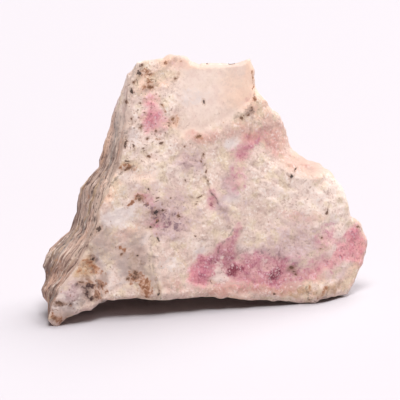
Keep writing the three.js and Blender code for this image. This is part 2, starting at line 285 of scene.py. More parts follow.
# %% Depth of the broad face. Lumps: middle, reach, height. Ledges: step, reach, walk
FACE_IN = 9.5
FACE_TURN = 0.3
CUTS = {
    "right shoulder": {"at": (9.5, 43), "heading": -8, "fall": 0.8, "heights": (29, 38)},
    "right end": {"at": (22, 15), "heading": 0, "fall": 0.6, "heights": (0, 3)},
}
CUT_EASE = 4
LUMPS = {
    "foot": ((-27, 5.5), (4.5, 4.5), 1.2),
    "rusty hollow": ((-22.6, 12), (2.2, 3), -0.9),
    "corner knob": ((22.8, 6.6), (2.4, 1.8), 0.9),
    "middle swell": ((4, 22), (12, 9), 0.8),
    "pink hollow": ((4, 12.5), (7, 3), -0.5),
}
SMOOTH_LOW_EDGE = [(-8, 37), (0, 38.4), (6, 41.4), (9, 44), (10.2, 47)]
SMOOTH_LEFT = (-8, -3)
SMOOTH_DEPTH = 0.6
SMOOTH_SLOPE = 1.5
LEDGES = {
    "crack": (0.5, 1.8, [
        (-0.4, 35), (-0.4, 30.5), (0.8, 27.5), (1.2, 26.4), (2.5, 24.7), (3.5, 23.2), (5.2, 19.8)]),
    "left shelf": (0.7, 2.5, [(-9, 33.5), (-12, 32.6), (-14.6, 31.4), (-17.6, 29.6), (-19, 27.6), (-21, 25)]),
    "upper right step": (0.5, 2.2, [
        (25, 19), (23.4, 22), (21.4, 24.2), (18.4, 26.4), (15.4, 27.4), (13, 29.2), (9, 31.8)]),
    "lower right step": (0.35, 1.8, [(21, 19.4), (19, 22), (16.4, 23), (14, 25.2), (11, 26)]),
    "grey band": (0.6, 1.6, [(-8.6, 4.5), (-9.4, 8), (-10.2, 12), (-10.6, 16), (-12.4, 20)]),
    "rusty pocket": (0.4, 1.4, [(-15.4, 14.8), (-14.8, 11), (-13.4, 8), (-12.6, 5)]),
    "low lip": (0.45, 1.8, [(19, 8.4), (13, 7.4), (8, 8.8), (2, 7.4), (-5, 8.6)]),
    "shoulder edge": (0.4, 2.0, [(8.4, 34), (8.8, 38), (9.4, 42), (9.8, 44)]),
}
GROOVE = [(-20.6, 4.9), (-20.4, 8), (-21.4, 11.5), (-23.2, 14.6)]
GROOVE_DEPTH = 0.7
GROOVE_WIDTH = 0.8


def on_smooth_face(across, up):
    """1 on the smooth cleavage break, 0 off it: above its lower edge and right of its left end."""
    edge = np.interp(across, *np.array(SMOOTH_LOW_EDGE).T)
    return rise(up - edge, -SMOOTH_SLOPE, SMOOTH_SLOPE) * rise(across, *SMOOTH_LEFT)


def face_depth(across, up):
    """How far in the broad face lies: a turning plane, plus each cut's eased fall, less each lump's bell."""
    depth = FACE_IN + FACE_TURN * across
    for cut in CUTS.values():
        heading = math.radians(cut["heading"])
        past = (across - cut["at"][0]) * math.cos(heading) + (up - cut["at"][1]) * math.sin(heading)
        past = np.maximum(0, past)
        depth = depth + cut["fall"] * past * past / (past + CUT_EASE) * rise(up, *cut["heights"])
    for lump in LUMPS.values():
        depth = depth - bell(across, up, *lump)
    return depth + SMOOTH_DEPTH * on_smooth_face(across, up)


def distance_to(chain, across, up):
    """Shortest distance to a chain, the share of it walked there, and 1 left of the walk or -1 right."""
    points = np.array(chain, float)[:, :2]
    starts, steps = points[:-1], np.diff(points, axis=0)
    lengths = np.linalg.norm(steps, axis=1)
    here = np.stack([across, up], axis=-1)[..., None, :] - starts
    share = np.clip(np.sum(here * steps, axis=-1) / lengths**2, 0, 1)
    gaps = np.linalg.norm(here - share[..., None] * steps, axis=-1)
    walked = (np.concatenate([[0], np.cumsum(lengths)[:-1]]) + share * lengths) / lengths.sum()
    left = np.sign(steps[:, 0] * here[..., 1] - steps[:, 1] * here[..., 0])
    nearest = np.argmin(gaps, axis=-1)[..., None]
    return tuple(np.take_along_axis(each, nearest, -1)[..., 0] for each in (gaps, walked, left))


# %% [markdown]
# ## Raising the skin
#
# The three grids become one list of points and one of squares, with the rows along the front and back
# edges shared, so the skin is closed with no seam to weld.

# %% Join the grids into one closed skin
def meet(run, end, corner):
    """Draws the end of a run over to a corner: the whole offset at the end, none part of the way along."""
    share = np.maximum(0, 1 - DRAWN_OVER * np.abs(np.arange(SQUARES + 1) - end) / SQUARES)
    return run + share[:, None] * (corner - run[end])


def bend_between(front, back):
    """Where the walls bend: a blend of front and back edge, pushed away from the middle of the face."""
    bend = {"left": along(SIDE_EDGE)}
    for side, push in BEND_OUT.items():
        out = (front[side] - MIDDLE) * [1, 1, 0]
        out = out / np.linalg.norm(out, axis=1, keepdims=True)
        bend[side] = front[side] * (1 - BEND) + back[side] * BEND + push * out
    bend["top"] = meet(meet(bend["top"], 0, bend["left"][0]), SQUARES, bend["right"][0])
    bend["bottom"] = meet(meet(bend["bottom"], 0, bend["left"][-1]), SQUARES, bend["right"][-1])
    return bend


face = sheet_between(**outline)
face[..., 2] = face_depth(face[..., 0], face[..., 1])
for side, edge in outline.items():
    edge[:, 2] = face_depth(edge[:, 0], edge[:, 1])

rear = sheet_between(**back_edge)
arch = np.sin(np.linspace(0, math.pi, SQUARES + 1))
rear[..., 2] += BACK_SWELL * arch[:, None] * arch[None]

share = np.linspace(0, 1, WALL_SQUARES + 1)[:, None, None]
rings = (outline, bend_between(outline, back_edge), back_edge)
front_ring, bend_ring, back_ring = (ring_of(**ring) for ring in rings)
wall = np.where(
    share < BEND,
    front_ring + (bend_ring - front_ring) * share / BEND,
    bend_ring + (back_ring - bend_ring) * (share - BEND) / (1 - BEND),
)

per_row = SQUARES + 1
front_ids = np.arange(per_row**2).reshape(per_row, per_row)
rear_ids = front_ids + per_row**2
middle_ids = 2 * per_row**2 + np.arange((WALL_SQUARES - 1) * 4 * SQUARES).reshape(-1, 4 * SQUARES)
rim_ids = [ring_of(ids[0], ids[:, -1], ids[-1], ids[:, 0]) for ids in (front_ids, rear_ids)]
wall_ids = np.concatenate([rim_ids[0][None], middle_ids, rim_ids[1][None]])
wall_ids = np.concatenate([wall_ids, wall_ids[:, :1]], axis=1)

points = np.concatenate([face.reshape(-1, 3), rear.reshape(-1, 3), wall[1:-1].reshape(-1, 3)])


def squares_of(ids, flip):
    """Four corners of every square in a grid of point numbers, wound to face outwards."""
    a, b, c, d = ids[:-1, :-1], ids[:-1, 1:], ids[1:, 1:], ids[1:, :-1]
    return np.stack([a, b, c, d] if flip else [a, d, c, b], axis=-1).reshape(-1, 4)


grids = ((front_ids, False), (rear_ids, True), (wall_ids, True))
squares = np.concatenate([squares_of(ids, flip) for ids, flip in grids])
print("points:", len(points), "triangles:", 2 * len(squares))


def directions_of(points):
    """Outward direction at each point: the sum of its squares' normals, made one long. In runs inwards."""
    p = points[squares]
    normal = np.cross(p[:, 2] - p[:, 0], p[:, 3] - p[:, 1])
    total = np.zeros_like(points)
    np.add.at(total, squares, np.repeat(-normal[:, None], 4, axis=1))
    return total / np.linalg.norm(total, axis=1, keepdims=True)


# %% [markdown]
# Relief and minerals both need to know where a point lies: on the broad face or on the streaked side, how
# far behind the face, and how far from the rim, the ridge and the groove. The streaks end in a ragged line
# below the top, and they stop short of the back.

# %% Work out where each point lies on the stone
SIDE_FACING = (0.1, 0.4)
SIDE_REACH = (11, 17)
LAYERS_END = (41, 44)
LAYERS_RAGGED = 0.8
RAGGED_SIZE = 4

across, up, depth = points.T
on_front = np.zeros(len(points), bool)
on_front[front_ids] = True
behind = np.where(on_front, 0, depth - face_depth(across, up))
out = directions_of(points)
smooth = on_smooth_face(across, up) * on_front
on_side = rise(-out[:, 0], *SIDE_FACING) * (1 - rise(behind, *SIDE_REACH)) * ~on_front
layers_show = on_side * (1 - rise(up + LAYERS_RAGGED * swells(points, RAGGED_SIZE, 89), *LAYERS_END))
rim = [*TOP_EDGE, *RIGHT_EDGE[1:], *BOTTOM_EDGE[::-1][1:], *RIDGE[::-1][1:]]
rim_gap = np.where(on_front, distance_to(rim, across, up)[0], 0)
groove_gap = distance_to(GROOVE, across, up)[0]
ridge_gap = distance_to(RIDGE, across, up)[0]
print("share of points on the streaked side:", round(float(np.mean(on_side > 0.5)), 3))

# %% [markdown]
# Coarse relief repeats the solid model's, and chips, small facets and pits break it up. The streaked side
# gets long narrow ledges that follow the ridge, because that rock splits along its layers.

# %% The kinds of relief on this stone
def coarse_relief(p):
    """The solid model's relief: breaks about 9 mm and about 4 mm apart."""
    return breaks(p, 9, 2.6, 3) + breaks(p, 3.7, 1.1, 17)


def fine_relief(p, bent):
    """Relief too small for the solid model: chips, small facets, pits and a low swell."""
    bent_little = pushed(p, 0.5, 2.3, 41)
    flats = 0.35 * chips(bent_little, 1.7, 51) + breaks(bent_little, 1.1, 0.22, 61) + 0.1 * chips(p, 0.7, 71)
    return flats + pits(bent, 1.9, 91, 0.3, 0.3) + 0.25 * swells(p, 3.1, 95)


def ledges(lie):
    """Long steps along the streaked side: facets eight times longer along the ridge than across it."""
    return 1.1 * breaks(lie, 2.6, 1.0, 83) + 0.55 * breaks(lie, 1.0, 1.0, 85) + 0.25 * chips(lie, 0.8, 87)


LAYER_LENGTH = 8
bent = pushed(points, 0.8, 4.3, 75)
lie = [behind + 1.2 * swells(points, 7, 81), up / LAYER_LENGTH, 0.4 * swells(points, 5, 82)]
lie = np.stack(lie, axis=-1)
coarse = coarse_relief(points)
fine = fine_relief(points, bent)
layered = ledges(lie)
print("coarse and fine relief in mm:", round(float(np.ptp(coarse)), 2), round(float(np.ptp(fine)), 2))

# %% [markdown]
# Each kind of relief has a mask, so the smooth cleavage break stays smooth and the ledges keep to their
# side. There three bulges swell out, with a waist between the lower two, and the rim of the face is worn
# round. On the face the relief runs straight in and out, which leaves the outline as drawn. On the walls
# and the back it runs along the surface's own direction.

# %% Raise the relief
FACE_RELIEF = 0.5
SMOOTH_RELIEF = 0.08
WALL_START = (0, 6)
FACE_FADE = 4
LAYER_START = (0, 1.5)
ROUGH_MIDDLE = ((6, 12), (9, 5), 0.5)
FINE_LOST_SMOOTH = 0.85
FINE_LOST_SIDE = 0.5
FINE_ON_FACE = 0.7
FINE_GAIN_BEHIND = 0.2
SIDE_LUMPS = {
    "high bulge": ((26, 6), (3.5, 4), 1),
    "big bulge": ((13.8, 6), (3, 4), 2),
    "waist": ((10.3, 5.5), (1.1, 5), -1),
    "low bulge": ((7.4, 4), (2, 3), 1.2),
}
BULGE_START = (0, 3)
WORN_EDGE = 1.0
WORN_DEPTH = 0.7
RAGGED = ((1.5, 0.24), (0.7, 0.1))

near = np.where(on_front, 1, np.clip(1 - behind / FACE_FADE, 0, 1))
face_share = FACE_RELIEF + (SMOOTH_RELIEF - FACE_RELIEF) * smooth
fine = fine * (1 - FINE_LOST_SMOOTH * smooth) * (1 - FINE_LOST_SIDE * on_side)
rough = 1 + bell(across, up, *ROUGH_MIDDLE)
fine = fine * (FINE_ON_FACE * rough + FINE_GAIN_BEHIND * rise(behind, 0, FACE_FADE))
layered = layered * layers_show * rise(behind, *LAYER_START)

stepped = 0
for step, reach, walk in LEDGES.values():
    gap, walked, left = distance_to(walk, across, up)
    stepped = stepped + step / 2 * left * np.exp(-((gap / reach) ** 2)) * np.sin(math.pi * walked)

bulge = 0
for lump in SIDE_LUMPS.values():
    bulge = bulge + bell(up, behind, *lump) * rise(behind, *BULGE_START) * on_side

worn = WORN_EDGE * (1 + 0.5 * swells(points, 2.5, 97))
rounded = WORN_DEPTH * worn * np.where(on_front, np.clip(1 - rim_gap / worn, 0, 1) ** 2, near)
groove = GROOVE_DEPTH * np.exp(-((groove_gap / GROOVE_WIDTH) ** 2))

face_way = np.array([0, 0, -1])
wall_way = out * (1 - on_side[:, None]) + face_way * on_side[:, None]
on_face = (coarse * face_share + fine + stepped - groove) * near - rounded + bulge
on_wall = (coarse * rise(behind, *WALL_START) + fine * (1 - near)) * ~on_front + layered
raised = points + face_way * on_face[:, None] + wall_way * on_wall[:, None]
ragged = 0
for size, amount in RAGGED:
    sideways = [swells(points, size, 101), swells(points, size, 102), 0 * up]
    ragged = ragged + amount * np.stack(sideways, axis=-1)
shape = to_part(raised + ragged)
shape[:, 2] = np.maximum(shape[:, 2], 0)
print("stone box in mm:", shape.min(0).round(2), shape.max(0).round(2))

# %% [markdown]
# ## Making the mesh
#
# The finished points hold their own place, so the object itself stays at the origin, unturned and
# unscaled.

# %% Put the stone into Blender
def mesh_object(name, vertices, quads):
    """A smooth-shaded mesh object at the origin, from arrays in millimetres."""
    mesh = bpy.data.meshes.new(name)
    mesh.from_pydata((vertices * MM).tolist(), [], quads.tolist())
    mesh.polygons.foreach_set("use_smooth", np.ones(len(quads), bool))
    mesh.update()
    made = bpy.data.objects.new(name, mesh)
    bpy.context.scene.collection.objects.link(made)
    return made


stone = mesh_object("tugtupite_stone", shape, squares)
print("made", stone.name, "with", len(stone.data.vertices), "points")

# %% [markdown]
# ## Laying the minerals into the stone
#
# Each mineral gets an amount at every point, from 0 to 1. On the broad face the amounts are listed patches,
# each an ellipse in millimetres, with a turn in degrees where it isn't level. Smooth noise bends them into
# ragged blots. Round the sides and the back, where no patch is set, noise alone decides where a mineral
# shows.

# %% Patches of mineral: across, up, half length, half width, any turn, strength
PINK = [
    (8.4, 36.6, 3, 2, 50, 0.3), (26.8, 10, 2.8, 2.2, 0.2), (28.2, 17, 1.8, 1.3, 20, 0.4),
    (7.6, 11.6, 9, 3, 0.4), (-10.2, 40.4, 2.2, 1.8, 70, 0.5), (7.6, 34.8, 2.4, 1.9, 45, 0.72),
    (12.6, 37.4, 4.2, 2.8, -60, 0.2), (6.4, 29.4, 3, 2.2, 50, 0.42), (1.8, 25.4, 2.4, 1.2, -60, 0.58),
    (-0.4, 11.4, 2.6, 2, 60, 0.95), (2.6, 12.8, 2.2, 1.5, 40, 0.8), (4, 14.2, 2.6, 1.8, 50, 0.85),
    (6, 17.2, 3, 1.1, 60, 0.75), (2.9, 15.6, 2.2, 1.1, 50, 0.65), (4.2, 16.6, 1.8, 1, 50, 0.6),
    (7, 11.2, 3.6, 1.7, 1), (10.8, 12.8, 3, 1.6, -10, 0.48), (15, 10.4, 2.8, 2.3, 20, 1),
    (11, 8.8, 4.5, 1.8, 0.42), (19, 9.8, 2.4, 1.6, 0.55), (17.6, 13.4, 2.8, 1.5, 0.2),
    (25, 17.8, 2.2, 2.6, 0.55), (3.2, 8.6, 2.6, 1, 0.35), (22.6, 11.8, 2.8, 2.2, 10, 0.6),
    (23.6, 15.6, 2, 2, 0.35), (30.4, 17.8, 1.2, 0.8, -45, 0.6), (-5.8, 51, 1.6, 0.9, -10, 0.2),
    (-11.6, 26, 2.6, 1.5, 0.5), (-9.4, 20.6, 2.6, 1.6, 0.35),
]
CREAM = [
    (2.8, 12.9, 0.8, 0.5, 60, 0.7), (2.2, 11.8, 0.8, 0.5, 60, 0.6), (2.4, 10.2, 2, 1.3, -40, 1),
    (3.8, 9.2, 1.5, 0.8, -30, 0.6), (8, 14.9, 2.2, 1.1, 0.7), (11.6, 11.8, 1.6, 0.8, 20, 0.35),
    (1.8, 15.4, 0.8, 0.6, 0.5), (26, 15.4, 1.3, 0.8, 30, 0.6), (27.2, 18.4, 1.4, 0.9, 30, 0.6),
    (24.4, 14.6, 1.2, 0.8, 0.5), (8.8, 12.8, 0.9, 0.5, 0.5), (18, 8, 1.6, 0.8, 0.4),
]
CORAL = [
    (-1.6, 10.8, 2.6, 2, 60, 1), (-0.2, 12.8, 1.8, 1.2, 40, 0.6), (-0.8, 9.4, 1.8, 1.2, 30, 0.7),
    (32, 16.2, 1.4, 2.2, 0.4), (32, 13, 1.2, 2, 0.2), (30.2, 17.8, 1.8, 1.4, -45, 1),
    (28.6, 15, 3.2, 2.1, 30, 0.75), (31, 14.4, 1.4, 2.4, 0.5), (25.4, 12.8, 2.8, 1.5, 30, 0.6),
    (22.8, 10.8, 1.8, 1.6, 10, 0.45), (-10.3, 40.4, 2.6, 2.1, 80, 0.85), (-10.8, 44.2, 2.2, 1.7, 80, 0.6),
    (-5.4, 52.2, 2.4, 1.2, 0.15), (10, 8.6, 5, 1.8, 0.45), (8, 36, 3.2, 2, 48, 0.35),
]
DEEP_PINK = [
    (27.2, 13.8, 1.7, 0.4, 35, 0.6), (24, 13.2, 1, 0.5, 10, 0.4), (30.2, 18.2, 1, 0.6, -45, 0.35),
    (6, 11.3, 2.4, 1, -5, 1), (-1, 10.8, 1.4, 1, 40, 0.25), (14.8, 10.6, 2.2, 1.8, 40, 0.6),
    (1.4, 14.9, 1.4, 0.6, 30, 0.3), (8.8, 13.6, 1, 0.5, 0.4), (13.6, 9.8, 1.3, 0.8, 20, 0.5),
    (7.2, 10.8, 1.2, 0.5, 0.7), (0.9, 9, 0.25, 1, -15, 0.9), (4.6, 16.6, 1.3, 0.5, 60, 0.5),
    (-10.4, 40.6, 1.2, 0.9, 60, 0.45), (2.2, 24.6, 1.5, 0.4, -60, 0.45),
]
ROSE = [
    (13.6, 38.2, 4.6, 3.2, -60, 0.85), (-6.4, 8, 3, 2.6, 0.5), (7, 39.6, 4, 1.2, 30, 0.5),
    (9, 37.8, 2.2, 1.8, 1), (-0.4, 38, 4.6, 1.5, 5, 0.8), (20.4, 32, 4.6, 2.2, -25, 0.9),
    (9.6, 45.4, 1.8, 2.2, 0.45), (14, 7.8, 6, 2.4, 0.9), (12.4, 8.8, 3.6, 2.2, 0.9),
    (22.6, 21.6, 2.4, 1.6, 0.5), (2.6, 9.2, 3, 1.4, 0.3), (22.2, 9.4, 2.6, 1.6, 0.85),
    (6, 7.4, 9, 1.9, 0.95), (27, 9, 4, 3, 0.35), (18, 21.8, 3.6, 1.2, -10, 0.6), (-3, 36, 4, 2, 0.3),
    (-16, 17.8, 3, 1.8, 0.5), (-6.2, 51.8, 4, 1.6, 0.25), (-4.6, 14, 3, 3, 0.4), (16.4, 7.4, 4, 1.4, 0.5),
    (-12, 46, 3, 4, 0.4), (20, 10.8, 3, 2.4, 0.4), (-6, 26.4, 3, 2, 0.3),
]
# The patch at (4, 22.6), right of the crack, is painted shade beside the crack's raised lip.
LILAC = [
    (11.6, 13, 8, 3.6, 0.5), (-8.4, 21.4, 5.4, 3.8, -20, 0.4), (-25.6, 6.6, 3, 2.2, 0.4),
    (-8.8, 22.4, 3.6, 2.4, -30, 0.75), (-6.6, 20.8, 3.2, 2.4, -30, 0.65), (-8.4, 18.4, 2, 1.4, 0.4),
    (16.6, 14.8, 6.6, 3.8, 5, 0.5), (15.6, 13.2, 3, 1.6, 0.5), (21.4, 17, 4, 3.2, 0.4),
    (-3.2, 32.4, 3.4, 2, 0.5), (4, 27, 2.8, 2.4, 70, 0.6), (17.6, 20.4, 4.4, 2, 10, 0.45),
    (-27, 6.4, 2.4, 1.4, 30, 0.5), (-1, 22.2, 1.8, 1.2, 80, 0.35), (8.6, 24.2, 2, 1.2, 0.3),
    (-2.4, 33, 2.6, 1.8, 0.4), (-4.8, 20.2, 3, 2.4, -20, 0.45), (-4.6, 24.8, 3.8, 2, 0.5),
    (5, 29.6, 2.4, 2, 60, 0.6), (4, 22.6, 1.5, 2.2, 10, 0.55), (9.8, 13.8, 3, 1.4, 0.6),
    (-11, 27.8, 2.6, 1.6, 0.35),
]
DEEP_LILAC = [
    (-9, 22.6, 2, 1.3, -30, 0.75), (-7.6, 20.8, 2, 1.2, -40, 0.65), (-6, 22.4, 1.2, 0.8, 0.4),
    (-11.8, 24.6, 1.6, 0.9, -30, 0.5), (14.6, 12.6, 2.6, 1.1, 0.6), (-5.4, 19.6, 2, 1, -30, 0.4),
    (-3, 32.8, 1.4, 0.8, 0.2), (17.6, 11.6, 1.6, 1.1, 0.7),
]
# Painted light: the patches along the bottom edge, (4, 4.4) and (-15, 4.4), and at the lower right end, (29,
# 11), (28.4, 7) and (28.6, 8), lighten rock that lies in shade there.
PALE = [
    (22, 25, 7.5, 6.5, -40, 0.8), (26, 18, 4, 5, 0.5), (-1, 46, 6, 5, 0.8), (-10, 33, 5, 4, 0.6),
    (25, 27, 5, 4, -40, 0.8), (-7, 29.6, 4, 2.4, 0.7), (-9, 51.4, 4, 2, 0.6), (12, 30, 5, 3, -30, 0.4),
    (-20, 27.6, 2, 3, -30, 0.8), (29, 11, 3, 4, 0.4), (28.4, 7, 3.2, 2.2, 0.8), (4, 4.4, 9, 1, -2, 0.9),
    (-15, 4.4, 5, 1, 0.9), (-11, 44, 4, 8, 0.7), (-10.2, 48.6, 3.4, 2.8, 0.9), (-5.4, 51.8, 2.6, 1.4, 0.8),
    (-14.6, 29.6, 3, 1.6, 0.8), (-1, 15.6, 2.2, 2.2, 0.8), (-11.6, 34, 4, 4, 0.7), (28.6, 8, 2, 3, 0.6),
    (1.5, 47, 5, 5, 0.7), (-20.4, 13.4, 2.4, 2.4, 0.6), (-1, 17, 5, 3, 0.4), (-4, 31, 5, 2, 0.7),
    (14, 25.6, 4, 3, 0.7), (3, 26.4, 3, 2, 0.5), (-14, 31, 3, 2, 0.9), (-5.6, 47.6, 2.4, 4, 0.5),
    (-16.6, 30, 2.4, 1.2, 30, 0.7), (-2.4, 8.4, 3, 2, 0.3),
]
WHITE = [
    (-17.4, 22.4, 4.4, 2.4, 10, 0.85), (-11.4, 17.8, 2.2, 1.2, 70, 0.6), (5.2, 25.8, 2.6, 2, 60, 0.8),
    (-27.2, 5.2, 3.2, 2.2, 25, 1), (-7.2, 12.6, 2.6, 2.2, 70, 0.5), (20.4, 30, 3, 1.8, -20, 0.35),
    (25.2, 19.8, 3, 1.6, 60, 0.5), (-16.6, 11.6, 2, 3.6, 0.5), (5, 36.6, 1.6, 1.4, 0.8),
    (2.8, 9.9, 2.2, 1.2, -25, 1), (-14.2, 37.6, 2.4, 1.3, 80, 0.6), (23, 25.6, 3.2, 1.8, -30, 0.3),
    (-2.6, 45.4, 3.4, 2.6, 0.5), (27, 18.2, 1.2, 0.8, 30, 0.6), (26.2, 14.4, 0.9, 0.5, 20, 0.5),
    (-19.6, 8.6, 1.8, 2.6, 0.5), (-14.6, 27.4, 3.2, 1.2, 10, 0.4), (7.8, 15, 2.2, 1.1, 0.6),
    (-1.4, 15.2, 2, 1.4, 0.65), (-20.9, 12.8, 1.5, 2.6, 0.7), (27, 9.6, 2.8, 2.4, 0.4),
]
# The patch at (4.2, 22.6), right of the crack, is painted shade beside the crack's raised lip.
GREY = [
    (-13, 10.6, 4.2, 4.6, 0.5), (-24.4, 6.4, 3.6, 2.8, 20, 0.6), (-28.6, 3.2, 1.6, 2.6, 20, 0.6),
    (-28.4, 7.6, 1.8, 2.4, 20, 0.7), (-21, 8.6, 1.4, 1.4, 0.8), (-12.8, 13.4, 4, 2, 95, 0.85),
    (-19.6, 17, 3.2, 1.6, 60, 0.6), (-24.6, 8.2, 2, 1.2, -20, 0.6), (17.6, 11.4, 1.9, 1.2, 0.7),
    (17.8, 14.2, 1.6, 1.2, 0.4), (21.4, 7.2, 1.8, 1.1, 0.4), (-16, 11.8, 2, 2.4, 0.5),
    (-10.2, 8.4, 0.8, 3.6, 8, 0.7), (-27.6, 3.2, 1.6, 1, 0.5), (-20.6, 10.4, 1, 3, 10, 0.5),
    (4.2, 22.6, 1.4, 2.4, 20, 0.5), (-17.6, 14.2, 2.2, 2.4, 20, 0.6), (-13.6, 18.2, 3.4, 2, 0.55),
    (-20.6, 19.4, 1.4, 1.8, 0.5), (-9.4, 12, 2.6, 2.4, 0.35), (-26, 6.6, 3, 2, 20, 0.35),
    (-2.4, 32.6, 2.4, 1.6, 0.4), (-17.4, 34.6, 1, 3, -10, 0.5), (-22, 15.6, 1.4, 1.4, 0.5),
]
# The patches along the bottom edge, (4, 4.6) and (-15, 4.8), and at the lower right end, (28, 7.6), are
# partly the peach tint and partly painted light on rock that lies in shade there.
PEACH = [
    (-2, 52, 3.6, 1.2, 0.8), (5.4, 47.6, 4, 5, 0.6), (10.6, 44.4, 4.6, 2.2, -60, 0.7),
    (-6.6, 52.4, 3, 1.5, 1), (31.4, 13, 4.6, 1.4, 80, 0.95), (3, 6.2, 8, 1.2, 0.3),
    (4, 4.6, 9, 1.2, -2, 0.9), (-15, 4.8, 5, 1, 0.7), (28, 7.6, 3, 2.2, 20, 0.6),
    (29.6, 9.4, 1.6, 3, 20, 0.6), (21.4, 5.6, 4, 1.2, 0.6), (-19.6, 28, 3.4, 1.4, 60, 0.6),
    (8.8, 50, 1.5, 4, 1), (9.2, 45.4, 3, 2.6, 1), (20.6, 31, 4.6, 2, -30, 0.8), (-9, 49.4, 5, 3.6, 0.6),
    (-11.6, 47.8, 3, 2.6, 0.6), (-12, 33, 4, 5, 0.3), (-18.8, 27.2, 3, 2, 60, 0.9),
    (-7, 41, 2, 1.4, 50, 0.9), (-14.4, 19.4, 2.4, 1.2, 0.6), (-4.4, 38.4, 5, 3, 0.35),
    (-12.4, 29.6, 3.6, 1.6, 0.4),
]
OCHRE = [
    (-23.8, 11.4, 2.5, 2, 50, 1), (-24.4, 9.4, 2, 1.6, 0.6), (18.4, 6.4, 3, 1.2, 0.7),
    (25.6, 6.2, 2.6, 1, 10, 0.6), (21.6, 6.6, 2, 1.8, 0.5), (-11.4, 49.6, 2.4, 2.4, 0.3),
    (-14.4, 12.6, 1.8, 2.6, 0.4), (-16, 31.2, 2.6, 1, 20, 0.6), (-8.4, 8, 2.4, 2, 0.35),
    (27.4, 7.4, 2.4, 1.4, 20, 0.4),
]
RUST = [
    (-12.8, 8.6, 2.4, 2.6, 0.55), (-12, 7.4, 2.6, 1.3, -55, 1), (-13.8, 10, 2, 1.1, -40, 0.8),
    (-14.8, 24, 0.7, 0.5, 80, 1), (-22.6, 11.2, 1.9, 0.9, -35, 0.8), (-25, 11.4, 0.8, 1.6, 0.35),
    (-24.2, 10, 1, 0.6, 0.5), (-21.6, 6.7, 2.4, 2, 0.65), (-23.2, 7.8, 1.2, 0.8, 0.5),
    (-11.6, 50.2, 2.2, 1.3, 0.6), (-10.9, 47.5, 1.6, 0.9, 0.6), (-14.4, 48.5, 0.6, 0.5, 0.8),
    (-15.5, 31, 2, 0.5, 20, 0.5), (-6.4, 41, 1.4, 0.8, 50, 0.7), (-6.8, 52.6, 2.2, 0.8, 10, 0.45),
    (17.8, 6.2, 3, 1, 0.2), (26.6, 6.4, 3, 1, 10, 0.2), (-1.6, 37.8, 1.2, 0.35, 15, 0.6),
    (-19.6, 26.6, 1.6, 1.2, 60, 0.45), (-29.9, 1.4, 1.1, 0.8, 0.7), (-29.4, 1.6, 1.8, 1.8, 0.3),
    (20.6, 6.6, 0.5, 1.6, 20, 0.35), (24.4, 6.8, 0.5, 1.4, -35, 0.35), (22.6, 4.9, 1.4, 0.4, 0.6),
    (-16.6, 15, 0.8, 0.6, 0.6), (-6, 49.4, 0.7, 0.6, 0.6), (-13, 25.5, 1.4, 1, 20, 0.75),
    (30.8, 19.6, 0.7, 0.4, 0.5), (9.7, 50, 0.3, 2.2, 0.45), (10, 46.4, 0.5, 2.4, -5, 0.6),
    (-8.4, 43.4, 0.4, 0.9, 0.5), (4.6, 40.4, 0.9, 0.4, 30, 0.5), (-9.6, 36.6, 0.8, 0.5, 0.4),
]
# Dark stains, such as the black spot on the foot, and thin patches along the crack, the grey band and the
# step under the smooth break, which are painted shade in those creases.
DIRT_AND_SHADE = [
    (-25.4, 5.8, 3, 2.4, 0.2), (-12.6, 12, 2.6, 3.4, 0.3), (7.6, 41.8, 1.9, 0.9, 42, 0.45),
    (9.2, 43.2, 1.1, 0.5, 60, 0.4), (-23.1, 6, 0.7, 1, 10, 1), (-22.5, 6.7, 2.6, 2.2, 0.46),
    (-24, 8.8, 1.6, 1, 0.35), (-25, 6, 1, 2, 0.3), (-28.6, 4.5, 0.8, 0.5, -10, 0.9),
    (-27.6, 4.4, 0.7, 0.6, 20, 0.6), (17.5, 11.1, 1.4, 0.9, 0.5), (-14, 10.2, 1, 0.6, 0.6),
    (10, 46, 0.3, 2.2, -10, 0.25), (-13, 50, 1, 1.2, 0.35), (-22.4, 13.2, 0.8, 0.5, 0.6),
    (-9, 6.2, 0.4, 1.4, 15, 0.6), (-10.4, 12.6, 0.35, 2, 5, 0.4), (-25.4, 7.4, 0.9, 0.6, 0.5),
    (2.8, 24.2, 1.7, 0.25, -58, 0.3), (-0.5, 32.6, 0.2, 1.6, 0.2), (-11.4, 24.6, 1.2, 0.6, 0.4),
    (-12.8, 25.6, 0.9, 0.7, 20, 0.7), (-22.4, 17.2, 0.5, 1.6, -20, 0.5),
]

# %% [markdown]
# To become an amount, a patch is measured from its middle in its own half sizes, and each patch leaves
# less of the bare rock for the next. The streaked side's own rock shows none of these minerals.

# %% Turn the patches into amounts at the points
PATCH_FADE = (0.2, 1.6)
PATCH_BENDS = ((3.4, 0.9), (1.3, 0.45))
PATCHES_END = (0.8, 3.5)


def in_halves(across, up, middle_across, middle_up, half_length, half_width, turn=0):
    """Where a point lies in an ellipse's own frame, in its half length and in its half width."""
    turn = np.radians(turn)
    dx, dy = across - middle_across, up - middle_up
    long = (dx * np.cos(turn) + dy * np.sin(turn)) / half_length
    return long, (dy * np.cos(turn) - dx * np.sin(turn)) / half_width


def blots(patches, across, up):
    """Patches over each other: each is full at its middle and fades out at 1.6 times its half sizes."""
    bare = np.ones_like(across)
    for *ellipse, strength in patches:
        away = np.hypot(*in_halves(across, up, *ellipse))
        bare = bare * (1 - strength * (1 - rise(away, *PATCH_FADE)))
    return 1 - bare


def elsewhere(size, seed, low, high):
    """Amount of a mineral round the sides and back: two smooth noises, kept where they rise above a limit."""
    noise = 0.7 * swells(bent, size, seed) + 0.3 * swells(bent, size / 2.6, seed + 1)
    return rise(noise, low, high)


def keep(name, kind, values):
    """Stores one value or vector for each point of the stone."""
    field = "vector" if kind == "FLOAT_VECTOR" else "value"
    made = stone.data.attributes.new(name, kind, "POINT")
    made.data.foreach_set(field, np.ascontiguousarray(values, np.float32).ravel())


